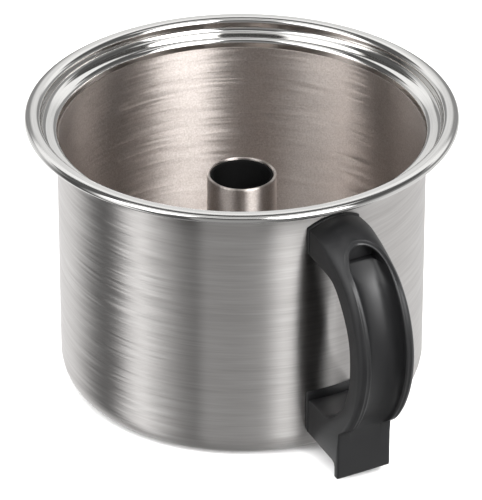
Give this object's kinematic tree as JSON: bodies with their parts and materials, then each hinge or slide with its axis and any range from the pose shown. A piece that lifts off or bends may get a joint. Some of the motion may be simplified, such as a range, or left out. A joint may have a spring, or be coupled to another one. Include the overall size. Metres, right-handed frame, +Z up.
{
  "type": "cutter mixer bowl",
  "caption": "Straight-sided steel mixing bowl with a stepped lid rim, an open centre tube and one bolted-on D-handle with a foot tab.",
  "frame": {"origin": "under the middle of the whole object, on the plane that the bowl stands on", "axes": "+Z up along the bowl's axis, -Y out along the handle, +X to the right when facing the handle"},
  "size_m": [0.2228, 0.2628, 0.1518],
  "materials": {
    "brushed_stainless": "brushed round the bowl, satin inside",
    "polished_stainless": "mirror polished",
    "black_nylon": "moulded, fine satin",
    "black_sleeve": "matt",
    "black_oxide_steel": "black oxide, satin"
  },
  "bodies": {
    "root": {"bowl_shell": "brushed_stainless", "rim_collar": "polished_stainless", "centre_tube": "brushed_stainless", "tube_liner": "black_sleeve", "upper_pad": "black_nylon", "lower_pad": "black_nylon", "grip": "black_nylon", "upper_boss": "brushed_stainless", "upper_screw": "black_oxide_steel", "upper_washer": "black_oxide_steel", "lower_lug": "brushed_stainless", "lower_screw": "black_oxide_steel", "lower_washer": "black_oxide_steel"}
  },
  "joints": []
}
